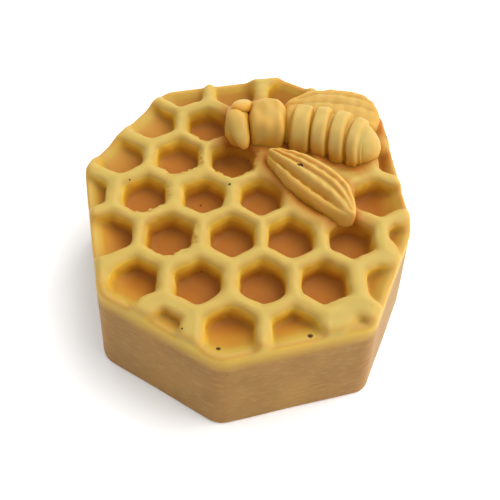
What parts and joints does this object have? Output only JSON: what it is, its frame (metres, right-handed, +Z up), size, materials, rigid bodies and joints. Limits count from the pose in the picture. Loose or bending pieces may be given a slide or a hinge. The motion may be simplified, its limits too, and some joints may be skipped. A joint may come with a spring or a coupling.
{
  "type": "beeswax honeycomb block with bee",
  "caption": "Eight-sided cast beeswax block with an open honeycomb top and a bee lying on the cells.",
  "frame": {"origin": "middle of the flat base, the face that the block stands on", "axes": "+Z up through the comb, the front flat of the eight-sided block faces -Y, +X to its right"},
  "size_m": [0.0732, 0.0755, 0.0322],
  "materials": {
    "wax_block": "satin beeswax",
    "wax_comb": "satin beeswax",
    "wax_bee": "satin beeswax"
  },
  "bodies": {
    "root": {"block": "wax_block", "comb": "wax_comb", "bee_head": "wax_bee", "bee_left_eye": "wax_bee", "bee_right_eye": "wax_bee", "bee_thorax": "wax_bee", "bee_waist": "wax_bee", "bee_band_1": "wax_bee", "bee_band_2": "wax_bee", "bee_band_3": "wax_bee", "bee_band_4": "wax_bee", "bee_tail": "wax_bee", "bee_left_wing": "wax_bee", "bee_right_wing": "wax_bee"}
  },
  "joints": []
}
